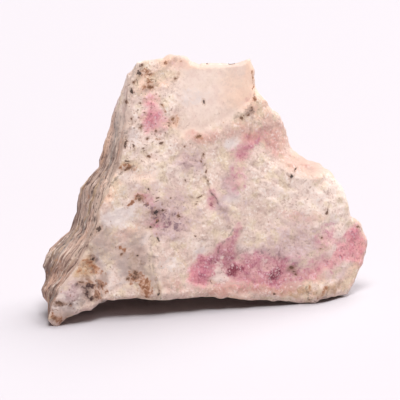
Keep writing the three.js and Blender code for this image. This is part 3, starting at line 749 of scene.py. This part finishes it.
face_places = np.stack([across, up, np.zeros_like(up)], axis=-1)
bent_across, bent_up = across, up
for size, push in PATCH_BENDS:
    bent_across = bent_across + push * swells(face_places, size, 111)
    bent_up = bent_up + push * swells(face_places, size, 112)
off_face = rise(behind, *PATCHES_END)

amounts = {
    # on the side above the streaks, pale is partly the rock's cream and partly painted light on a wall that
    # faces away from the lamps
    "pale": (PALE, np.maximum(elsewhere(12, 201, -0.1, 0.4), on_side)),
    "pink": (PINK, elsewhere(11, 121, 0.05, 0.8) * 0.8),
    "coral": (CORAL, 0 * up),
    "cream": (CREAM, 0 * up),
    "deep_pink": (DEEP_PINK, elsewhere(5, 131, 0.4, 0.6) * elsewhere(11, 121, 0.3, 0.55)),
    "rose": (ROSE, elsewhere(9, 211, 0.0, 0.5) * 0.7),
    "lilac": (LILAC, elsewhere(10, 141, 0.2, 0.5) * 0.8),
    "deep_lilac": (DEEP_LILAC, elsewhere(6, 145, 0.4, 0.6) * 0.7),
    "white": (WHITE, elsewhere(8, 151, 0.2, 0.5) * 0.8),
    "grey": (GREY, elsewhere(9, 161, 0.25, 0.5) * 0.8 * (1 - on_side)),
    "peach": (PEACH, elsewhere(13, 171, -0.1, 0.4) * 0.7),
    "ochre": (OCHRE, elsewhere(7, 185, 0.3, 0.9) * 0.6),
    "rust": (RUST, elsewhere(6, 181, 0.2, 0.9) * 0.8),
    "dirt_and_shade": (DIRT_AND_SHADE, elsewhere(4, 191, 0.3, 0.9) * 0.7),
}
for name, (patches, around) in amounts.items():
    amount = blots(patches, bent_across, bent_up) * (1 - off_face) + around * off_face
    keep(name, "FLOAT", amount * (1 - layers_show))
    print(name, "covers", round(float(np.mean(amount > 0.5)) * 100, 1), "% of the points")

# %% [markdown]
# Specks of dark mineral are smaller than the mesh's squares, so an amount at each point would blur them.
# Each point keeps the way to the nearest speck instead, in that speck's half length and half width. That
# changes evenly across a square, so the material can draw a crisp edge where its length passes one.

# %% Specks, and where dots crowd: across, up, half length, half width, turn, darkness
SPECKS = [
    (-13.2, 50.2, 0.95, 0.55, 80, 0.9), (-12.6, 51.8, 0.3, 0.25, 0, 0.4), (-14.3, 48.5, 0.45, 0.35, 0, 0.3),
    (-14.6, 46.5, 0.65, 0.25, 100, 0.9), (-11, 50, 0.6, 0.35, 20, 0.2), (-10.8, 47.5, 0.7, 0.4, 0, 0.2),
    (-6, 49.3, 0.45, 0.3, 40, 0.3), (-15.7, 44.5, 0.4, 0.25, 90, 0.4), (-8.5, 44, 0.5, 0.3, 110, 0.35),
    (-0.2, 44.6, 0.35, 0.25, 100, 0.9), (-6.5, 41, 0.5, 0.35, 50, 0.1), (-7.2, 39.7, 0.35, 0.25, 90, 0.4),
    (-12.7, 39.5, 0.4, 0.3, 60, 0.35), (-11.7, 37.3, 0.35, 0.3, 0, 0.4), (-8.8, 36.2, 0.45, 0.3, 30, 0.6),
    (-15.8, 36.3, 0.9, 0.4, 80, 0.75), (-14.2, 35.8, 0.55, 0.2, 90, 0.7), (-15.5, 32.7, 0.5, 0.2, 0, 0.8),
    (-11.3, 33.7, 0.4, 0.35, 0, 0.3), (-15.5, 31.2, 0.9, 0.4, 15, 0.2), (-1.3, 37.7, 0.65, 0.3, 20, 0.3),
    (-0.2, 34, 0.5, 0.2, 95, 0.5), (-0.7, 32.7, 0.3, 0.2, 90, 0.4), (0.2, 30.7, 0.4, 0.2, 80, 0.4),
    (-4, 35.6, 0.25, 0.2, 0, 0.4), (17.4, 29.6, 0.55, 0.3, 50, 1), (18.1, 31.3, 0.4, 0.15, 70, 0.9),
    (-11.3, 27.1, 0.28, 0.25, 0, 0.8), (-13, 25.2, 0.5, 0.4, 0, 0.5), (-9.9, 22.6, 0.8, 0.6, 0, 1),
    (-8.2, 22.8, 0.3, 0.22, 0, 0.7), (-9.7, 20.7, 0.5, 0.4, 20, 0.95), (-10.8, 19.6, 0.4, 0.32, 0, 0.8),
    (-9.3, 17.2, 0.55, 0.25, 110, 1), (-21.3, 19.3, 0.8, 0.35, 70, 0.85), (-22.4, 13.2, 0.5, 0.35, 20, 1),
    (-13.5, 13.9, 0.25, 0.2, 0, 0.9), (-13.8, 10.4, 0.6, 0.45, -30, 0.6), (-15.4, 9.4, 0.4, 0.3, 0, 0.4),
    (-9.3, 6.2, 0.6, 0.25, 70, 1), (-29, 4.7, 0.9, 0.35, -10, 0.6), (-30, 1.4, 0.5, 0.4, 0, 0.2),
    (-4, 29, 0.25, 0.2, 0, 0.6), (-1.8, 24.2, 0.25, 0.22, 0, 0.8), (-1.8, 17.8, 0.22, 0.2, 0, 0.7),
    (-0.8, 25.7, 0.5, 0.2, 20, 0.6), (0.7, 28.7, 0.3, 0.2, 110, 0.6), (24.5, 22.7, 0.6, 0.25, 80, 0.6),
    (17.5, 11.3, 0.6, 0.4, 0, 0.6), (23.2, 15, 0.22, 0.2, 0, 0.7), (23.5, 17.4, 0.28, 0.24, 0, 0.5),
    (18.3, 10, 0.3, 0.28, 0, 0.5), (13.7, 6.2, 0.3, 0.22, 0, 0.7), (30.8, 19.6, 0.4, 0.2, -40, 0.4),
    (-17, 38.5, 0.3, 0.2, 80, 0.5), (-12.9, 44.2, 0.25, 0.2, 0, 0.4), (-9.9, 38.9, 0.25, 0.2, 0, 0.4),
    (-12.2, 42.2, 0.25, 0.2, 0, 0.4), (-14.6, 41.2, 0.28, 0.2, 60, 0.4), (-12.4, 35.2, 0.25, 0.2, 0, 0.4),
    (-9.5, 25.3, 0.25, 0.2, 0, 0.6), (-6.8, 25.4, 0.25, 0.18, 0, 0.5), (-5.2, 21.8, 0.35, 0.3, 0, 0.5),
    (-16.6, 14.2, 0.3, 0.25, 0, 0.4), (-24.6, 8.6, 0.5, 0.3, -20, 0.5), (8.8, 41.9, 0.4, 0.25, 30, 0.4),
    (7.4, 41.4, 0.35, 0.3, 60, 0.45), (9.4, 43.4, 0.3, 0.2, 60, 0.4),
]
SPECKLED = [
    (-12, 42, 6, 11, 0.8), (-12.4, 49.6, 2.6, 3, 0.75), (-14, 12, 8, 8, 0.5), (-8.6, 22, 5, 4, 0.9),
    (-27, 5, 5, 4, 1), (7, 12, 9, 5, 0.3), (-1, 34, 3, 6, 0.4), (22.4, 6.6, 3, 3, 0.8), (17, 22, 8, 5, 0.3),
]
SPECK_PUSH = 9
FEWEST_DOTS = 0.1
DOTS_ELSEWHERE = 0.7

*ellipses, darkness = np.array(SPECKS).T
ways = in_halves(across[:, None], up[:, None], *ellipses)
nearest = np.argmin(np.hypot(*ways), axis=1)[:, None]
long, short = (np.take_along_axis(way, nearest, 1)[:, 0] for way in ways)
long = long + np.sign(long) * SPECK_PUSH * off_face
keep("to_speck", "FLOAT_VECTOR", np.stack([long, short, darkness[nearest[:, 0]]], axis=-1))
speckled = FEWEST_DOTS + (1 - FEWEST_DOTS) * blots(SPECKLED, across, up) - FEWEST_DOTS * smooth
keep("speckled", "FLOAT", speckled * (1 - off_face) + DOTS_ELSEWHERE * off_face)
print("specks:", len(SPECKS))

# %% [markdown]
# Thin dark lines of painted shade lie in the crack, under the ledges, along the groove and round the foot of
# the corner knob, where these creases are in shade. Like the specks, they are finer than the squares, so each
# point keeps how far the nearest line is, in that line's half width, and how dark it is.

# %% Dark lines of painted shade: half width, darkness and the walk
PAINTED_SHADE_LINES = [
    (0.08, 0.15, [(-0.4, 35), (-0.6, 32.6), (-0.4, 30.5), (0.5, 28.2), (1, 27.2)]),
    (0.1, 0.5, [(1, 27.2), (1.5, 26), (2.6, 24.5), (3.5, 23.2)]),
    (0.16, 0.35, [(5.4, 40.9), (7.2, 41.9), (8.8, 43.2), (9.7, 45), (10, 47)]),
    (0.16, 0.3, [(-8.9, 4.8), (-9.3, 7.4), (-9.9, 10), (-10.5, 13), (-10.9, 16)]),
    (0.2, 0.4, [(-20.5, 5), (-20.8, 7.4), (-21.9, 9.2), (-22.4, 11.6), (-21.4, 13.4)]),
    (0.2, 0.5, [(-13.2, 32.3), (-15.4, 31.2), (-17.4, 29.8), (-18.9, 27.8)]),
    (0.16, 0.4, [(21.2, 8.8), (20.4, 7), (20.8, 5), (22.6, 4.6), (24.4, 5.6), (24.8, 7.6)]),
    (0.14, 0.4, [(5.6, 19.4), (4.6, 17.6), (3.4, 16.4), (2.6, 14.6)]),
    (0.14, 0.35, [(-25.4, 2.8), (-24.2, 4.6), (-23.4, 5.4)]),
]
FAR = 99.0

line_gap = np.full(len(points), FAR)
line_dark = np.zeros(len(points))
for half_width, darkness, walk in PAINTED_SHADE_LINES:
    gap = distance_to(walk, across, up)[0] / half_width + FAR * off_face
    line_dark = np.where(gap < line_gap, darkness, line_dark)
    line_gap = np.minimum(gap, line_gap)
keep("line_gap", "FLOAT", line_gap)
keep("line_dark", "FLOAT", line_dark)
print("dark lines:", len(PAINTED_SHADE_LINES))

# %% [markdown]
# The streaks of the side show a little way round the ridge, on the face itself. Dust lies on what faces
# up, and the same greyer coat is painted shade that dims the up-facing tops and ledges the lamps light
# most, so the finished mesh's own normals say where.

# %% Keep where the streaks, the smooth break, and the dust with its painted shade lie
SPILL = 0.7
SPILL_STARTS = (12, 34)
SPILL_EDGE = 0.5
TOPS_DUST_AND_SHADE = (0.5, 0.9)

keep("layers", "FLOAT_VECTOR", lie)
spill = SPILL * rise(up, *SPILL_STARTS) * (1 + 0.9 * swells(bent, 3, 99)) - ridge_gap
keep("streaked", "FLOAT", np.maximum(layers_show, rise(spill, -SPILL_EDGE, SPILL_EDGE) * on_front))
keep("smooth", "FLOAT", smooth)
normals = np.empty(len(points) * 3, np.float32)
stone.data.vertices.foreach_get("normal", normals)
tops_dust_and_shade = rise(normals.reshape(-1, 3)[:, 2], *TOPS_DUST_AND_SHADE)
keep("tops_dust_and_shade", "FLOAT", tops_dust_and_shade)
print("dusty share of the points:", round(float(np.mean(tops_dust_and_shade > 0.5)), 3))

# %% [markdown]
# ## A small bench for shader maths
#
# A material is a sum of masks, and masks are arithmetic. The class below wraps one socket and gives it the
# usual operators, so a mask reads as a formula and each operator adds its Math node.

# %% Wires and the bench that lays them
class Wire:
    """One output socket that can be added, subtracted, multiplied and divided."""

    def __init__(self, bench, socket):
        self.bench = bench
        self.socket = socket

    def __add__(self, other):
        return self.bench.maths("ADD", self, other)

    def __sub__(self, other):
        return self.bench.maths("SUBTRACT", self, other)

    def __rsub__(self, other):
        return self.bench.maths("SUBTRACT", other, self)

    def __mul__(self, other):
        return self.bench.maths("MULTIPLY", self, other)

    def __truediv__(self, other):
        return self.bench.maths("DIVIDE", self, other)

    __radd__ = __add__
    __rmul__ = __mul__


class Bench:
    """A material's node tree, and the few ways in which this script adds to it."""

    def __init__(self, name):
        self.material = bpy.data.materials.new(name)
        self.material.use_nodes = True
        self.tree = self.material.node_tree
        self.tree.nodes.clear()

    def node(self, kind, settings=None, inputs=None, output=0):
        """Adds a node: its settings first, then a value or a wire for each named or numbered input."""
        made = self.tree.nodes.new(kind)
        for key, value in (settings or {}).items():
            setattr(made, key, value)
        for key, value in (inputs or {}).items():
            if isinstance(value, Wire):
                self.tree.links.new(value.socket, made.inputs[key])
            else:
                made.inputs[key].default_value = value
        return Wire(self, made.outputs[output]) if len(made.outputs) else None

    def maths(self, operation, first, second=0.0):
        """One Math node."""
        return self.node("ShaderNodeMath", {"operation": operation}, {0: first, 1: second})

    def step(self, value, low, high):
        """0 below low, 1 above high, smooth between; with low above high it falls instead."""
        settings = {"interpolation_type": "SMOOTHSTEP", "clamp": True}
        return self.node("ShaderNodeMapRange", settings, {"Value": value, "From Min": low, "From Max": high})

    def mix(self, share, first, second):
        """The first colour where share is 0, the second where it is 1."""
        settings = {"data_type": "RGBA", "clamp_factor": True}
        return self.node("ShaderNodeMix", settings, {0: share, 6: first, 7: second}, output=2)

    def point_value(self, name, output=2):
        """A value kept at the points: output 2 is a number and 1 a vector."""
        return self.node("ShaderNodeAttribute", {"attribute_name": name}, output=output)

    def component(self, vector, axis):
        """One of a vector's three numbers."""
        return self.node("ShaderNodeSeparateXYZ", None, {0: vector}, output=axis)

    def noise(self, place, size, detail=2.0, rough=0.5):
        """Smooth noise from 0 to 1 with features about this big, in the place's own units."""
        inputs = {"Vector": place, "Scale": 1 / size, "Detail": detail, "Roughness": rough}
        return self.node("ShaderNodeTexNoise", None, inputs)

    def crystals(self, place, size, output):
        """Cells round random spots: output 0 is the way to the nearest spot, and 1 its own colour."""
        inputs = {"Vector": place, "Scale": 1 / size}
        return self.node("ShaderNodeTexVoronoi", {"feature": "F1"}, inputs, output)


def colour(hex_code):
    """A colour as the shader wants it, from the six figures a painter's chart gives."""
    parts = [int(hex_code[i : i + 2], 16) / 255 for i in (0, 2, 4)]
    return (*[c / 12.92 if c <= 0.04045 else ((c + 0.055) / 1.055) ** 2.4 for c in parts], 1.0)


# %% [markdown]
# ## The rock's finish
#
# The minerals are painted in coats: cream albite with its peach stain, sugary mottle and rose flush, where
# some pale and peach patches are painted light on rock in shade; milky and grey patches and lilac sodalite;
# coral and raspberry tugtupite, with cream crystals in it; and last ochre, rust, dark stains with painted
# shade in the creases, and dust with painted shade on what faces up. Each amount is compared with fine
# noise, so a patch frays into grains at its edge instead of fading like watercolour.

# %% Paint the face's minerals, coat over coat
GRAIN = 0.45 * MM
CLUSTER = 1.1 * MM
CLOUD = 6 * MM
MOTTLE = 2.4 * MM
CRYSTAL = 0.9 * MM

rock = Bench("tugtupite_rock")
place = rock.node("ShaderNodeTexCoord", output=3)
grain = rock.noise(place, GRAIN, 2.0, 0.6)
cluster = rock.noise(place, CLUSTER, 3.0, 0.6)
cloud = rock.noise(place, CLOUD, 2.0, 0.5)
crystal = rock.crystals(place, CRYSTAL, output=1)
crystal = rock.node("ShaderNodeSeparateColor", None, {0: crystal}, output=0)
fray = (grain - 0.5) * 0.7 + (cluster - 0.5) * 0.8 + (crystal - 0.5) * 0.35
light_grain = rock.step(grain + (crystal - 0.5) * 0.25, 0.52, 0.75)
dark_grain = rock.step(grain + (crystal - 0.5) * 0.2, 0.46, 0.28)


def shown(name, fraying=1.0, low=0.15, high=0.85):
    """How much of a mineral shows: its amount, frayed by noise where there is any, stepped low to high."""
    amount = rock.point_value(name)
    return rock.step(amount + fray * fraying * rock.step(amount, 0.0, 0.3), low, high)


def coated(under, coats):
    """Lays coats over what is there, one after another: each has how much of it shows, and its tint."""
    for share, tint in coats:
        under = rock.mix(share, under, colour(tint))
    return under


sugary = 1 - rock.point_value("smooth") * 0.78
mottle = rock.noise(place, MOTTLE, 2.0, 0.5)
body = rock.mix(rock.step(cloud, 0.35, 0.65), colour("dbc3b6"), colour("e8d2c5"))
body = coated(body, [
    (shown("pale", 0.5) * 0.85, "f7e4d8"),
    (shown("peach", 0.5) * 0.75, "f7cfb4"),
    (rock.step(mottle, 0.48, 0.64) * 0.7 * sugary, "e2cfb4"),
    (rock.step(mottle, 0.46, 0.32) * 0.4, "dfc0b6"),
    (rock.point_value("smooth") * 0.3, "f6dfd0"),
    (shown("rose", 0.8) * 0.7, "d8a599"),
    (shown("rose", 1.4, 0.6, 1.2) * 0.8, "c4897c"),
    (light_grain * 0.6 * sugary, "fcf2ea"),
    (dark_grain * 0.5 * sugary, "b2978a"),
    (shown("white", 0.7) * 0.85, "e6dad6"),
    (shown("grey", 1.1, 0.1, 0.95) * 0.75, "ab958d"),
    (shown("lilac", 1.0, 0.05, 0.95) * 0.8, "c0a0a2"),
    (dark_grain * shown("lilac", 0.6, 0.2, 0.7) * 0.6, "8a6b76"),
    (light_grain * shown("lilac", 0.6, 0.2, 0.7) * 0.5, "e2cfd0"),
    (shown("deep_lilac", 2.4, 0.35, 0.95) * 0.85, "785c66"),
])
reddened = rock.maths("MAXIMUM", shown("pink", 0.5), shown("coral", 0.5, 0.1, 0.6))
body = coated(body, [
    (shown("coral", 0.8, 0.0, 0.9) * 0.85, "e598a1"),
    (shown("coral", 1.2, 0.6, 1.1) * 0.75, "cb6c80"),
    (shown("pink", 0.9, 0.0, 0.8) * 0.75, "d2939c"),
    (shown("pink", 2.4, 0.5, 1.25) * 0.85, "b2647a"),
    (dark_grain * reddened * 0.5, "a04d62"),
    (shown("deep_pink", 1.7, 0.25, 0.9) * 0.9, "7c3042"),
    (light_grain * reddened * 0.65, "f3d6d7"),
    (shown("cream", 2.4, 0.2, 0.9) * 0.75, "ead6cc"),
    (dark_grain * shown("cream", 1.0) * 0.6, "a98078"),
])
body = coated(body, [
    (shown("ochre", 1.4, 0.15, 0.95) * 0.75, "ba9674"),
    (dark_grain * shown("ochre", 0.8, 0.3, 0.9) * 0.6, "7f6049"),
    (light_grain * shown("ochre", 0.8, 0.3, 0.9) * 0.5, "e2cdb0"),
    (shown("rust", 2.0, 0.25, 0.85) * 0.8, "b67f5b"),
    (shown("rust", 2.4, 0.65, 1.1) * 0.8, "8a5b40"),
    # dark stains, and thin patches of painted shade along the creases
    (shown("dirt_and_shade", 0.9, 0.1, 0.75) * 0.65, "806558"),
    (shown("dirt_and_shade", 1.3, 0.55, 1.0) * 0.9, "3f2a2c"),
    # dust, and painted shade that dims the up-facing tops and ledges
    (rock.point_value("tops_dust_and_shade") * 0.7, "bfa89c"),
])
print("nodes in the face's coats:", len(rock.tree.nodes))

# %% [markdown]
# The side is a different rock, squeezed into thin layers. Noise in stretched coordinates gives streaks of
# four widths, from bands to hairs. It is darkest at the foot, towards the back, and pales into the albite
# at the top; that pale top is partly its own tone and partly painted light, which lifts the upper wall where
# it faces away from the lamps.

# %% Paint the streaked side and join it to the face
HEIGHT = 50 * MM
BAND, OCHRE_STREAK, THREAD, HAIR = 3.2, 2.1, 1.1, 0.4

layers = rock.point_value("layers", output=1)
inward = rock.component(layers, 0)
height_up = rock.component(place, 2) / HEIGHT + (cloud - 0.5) * 0.3
broken = (cluster - 0.5) * 0.15
band = rock.noise(layers, BAND, 2.0, 0.6) + broken
ochre = rock.noise(layers, OCHRE_STREAK, 2.0, 0.5) + broken
thread = rock.noise(layers, THREAD, 3.0, 0.65) + broken
hair = rock.noise(layers, HAIR, 2.0, 0.6) + broken
side = rock.mix(rock.step(height_up, 0.15, 0.45), colour("ab8a7b"), colour("bea598"))
side = coated(side, [
    # the pale top: partly its own tone, partly painted light on a wall that faces away from the lamps
    (rock.step(height_up, 0.5, 0.8), "f2dccf"),
    (rock.step(inward, 5.0, 0.5) * rock.step(height_up, 0.2, 0.4) * 0.6, "dfc9b9"),
    (rock.step(inward, 6.0, 9.0) * rock.step(height_up, 0.44, 0.3) * 0.7, "7d6b64"),
    (rock.step(height_up, 0.54, 0.62) * rock.step(height_up, 0.72, 0.64) * 0.5, "8f7468"),
    (rock.step(band, 0.5, 0.64) * 0.75, "d2ab97"),
    (rock.step(band, 0.47, 0.34) * 0.7, "908e8a"),
    (rock.step(ochre, 0.54, 0.66) * 0.6, "c2a27a"),
    (rock.step(thread, 0.54, 0.68) * 0.85, "e6cfc0"),
    (rock.step(thread, 0.46, 0.35) * (0.75 - rock.step(height_up, 0.6, 0.85) * 0.35), "74574e"),
    (rock.step(hair + fray * 0.3, 0.44, 0.3) * 0.8, "46332f"),
    (rock.step(hair + fray * 0.3, 0.6, 0.74) * 0.75, "f0dfd3"),
    (rock.step(cluster, 0.6, 0.72) * 0.6, "b07a58"),
    (rock.step(height_up, 0.62, 0.8) * 0.45, "ecd9cd"),
    (rock.step(height_up, 0.8, 0.95) * 0.4, "ecdccf"),
])
streaked = rock.point_value("streaked")
streaks_show = rock.step(streaked + fray * 0.7 * rock.step(streaked, 0.0, 0.1), 0.3, 0.7)
body = rock.mix(streaks_show, body, side)
print("nodes with the side:", len(rock.tree.nodes))

# %% [markdown]
# Dark grains stand in every mineral, so they go on last. A speck's edge is where the way to it passes one,
# roughened by the grain, with a faint brown stain round it. The dots are too many to place by hand: they
# are the spots of a cell pattern, larger where the stone is speckled.

# %% Draw the specks, the dark lines and the dots
way = rock.point_value("to_speck", output=1)
way_long, way_short, speck_dark = (rock.component(way, axis) for axis in range(3))
speck_gap = rock.maths("SQRT", way_long * way_long + way_short * way_short)
speck_gap = speck_gap + (grain - 0.5) * 2.4 + (cluster - 0.5)
body = coated(body, [(rock.step(speck_gap, 2.4, 1.0) * 0.4, "b08d78")])
speck_shown = rock.step(speck_gap, 1.0, 0.5)
speck_colour = rock.mix(speck_dark, colour("94694c"), colour("2c2426"))
body = rock.mix(speck_shown * 0.9, body, speck_colour)

line = rock.point_value("line_gap") + (cluster - 0.5) * 7 + (grain - 0.5) * 3
# the dark lines: painted shade in the creases
body = coated(body, [(rock.step(line, 1.6, 0.2) * rock.point_value("line_dark"), "57453f")])

dot_gap = rock.crystals(place, CRYSTAL, output=0)
dot_size = crystal * rock.point_value("speckled") * 0.34
dotted = rock.step(dot_gap + (grain - 0.5) * 0.6 - dot_size, 0.02, -0.04)
dot_colour = rock.mix(rock.step(mottle, 0.4, 0.6), colour("a87c62"), colour("7a5d4e"))
body = rock.mix(dotted * 0.6, body, dot_colour)
print("nodes with the specks, lines and dots:", len(rock.tree.nodes))

# %% [markdown]
# The rock is dull, and a little smoother on the cleavage break. Grains too fine for the mesh are left to a
# bump that takes the same noises as the colours, so light and tint agree.

# %% Give the rock its fine bump and its shine
SUGAR = 0.22 * MM
BUMP_HEIGHT = 0.35 * MM

sugar = rock.noise(place, SUGAR, 2.0, 0.7)
height = (grain * 0.5 + sugar * 0.3 + cluster * 0.6 + crystal * 0.15) * sugary
height = height + streaked * (thread + hair) * 1.2 - speck_shown * 0.3
bump = rock.node("ShaderNodeBump", None, {"Strength": 0.6, "Distance": BUMP_HEIGHT, "Height": height})
roughness = 0.78 - rock.point_value("smooth") * 0.22 + (grain - 0.5) * 0.2
shader_inputs = {"Base Color": body, "Roughness": roughness, "Normal": bump, "Specular IOR Level": 0.4}
shader = rock.node("ShaderNodeBsdfPrincipled", None, shader_inputs)
rock.node("ShaderNodeOutputMaterial", None, {"Surface": shader})
stone.data.materials.append(rock.material)
print("nodes in the rock:", len(rock.tree.nodes))

# %% [markdown]
# ## Floor and light
#
# A plain pale sheet lies under the stone. One large lamp above and behind, to the right, throws the soft
# shadow forwards. A second one, high in front, lights the face, and a weak warm sky fills the rest.

# %% Floor, sky and lamps
FLOOR_SIZE = 3000.0
PAPER = (0.53, 0.508, 0.54, 1)
PAPER_ROUGHNESS = 0.9
SKY = (1.0, 0.70, 0.65, 1)
SKY_STRENGTH = 0.16
LIT_PLACE = (0, 0, 20)
LAMPS = [
    {"name": "top", "place": (1000, 1400, 2600), "size": 2400, "power": 122.0},
    {"name": "front", "place": (0, -1300, 3000), "size": 1500, "power": 98.0},
]


def lamp(name, place, size, power):
    """A square area lamp that faces the stone, with its power in watts."""
    data = bpy.data.lights.new(name, "AREA")
    data.size = size * MM
    data.energy = power
    made = bpy.data.objects.new(name, data)
    made.location = Vector(place) * MM
    made.rotation_euler = (Vector(LIT_PLACE) - Vector(place)).to_track_quat("-Z", "Y").to_euler()
    bpy.context.scene.collection.objects.link(made)


corners = np.array([(-1, -1, 0), (1, -1, 0), (1, 1, 0), (-1, 1, 0)]) * FLOOR_SIZE / 2
floor = mesh_object("floor", corners, np.array([[0, 1, 2, 3]]))
paper = bpy.data.materials.new("paper")
paper.use_nodes = True
paper_inputs = paper.node_tree.nodes["Principled BSDF"].inputs
paper_inputs["Base Color"].default_value = PAPER
paper_inputs["Roughness"].default_value = PAPER_ROUGHNESS
floor.data.materials.append(paper)

world = bpy.data.worlds.new("studio")
world.use_nodes = True
sky_inputs = world.node_tree.nodes["Background"].inputs
sky_inputs["Color"].default_value = SKY
sky_inputs["Strength"].default_value = SKY_STRENGTH
bpy.context.scene.world = world

for each in LAMPS:
    lamp(**each)
bpy.context.scene.view_settings.view_transform = "Standard"
print("lamps:", [each["name"] for each in LAMPS])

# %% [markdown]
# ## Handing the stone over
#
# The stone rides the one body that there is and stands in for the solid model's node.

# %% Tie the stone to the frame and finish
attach(stone, "root")
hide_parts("stone")
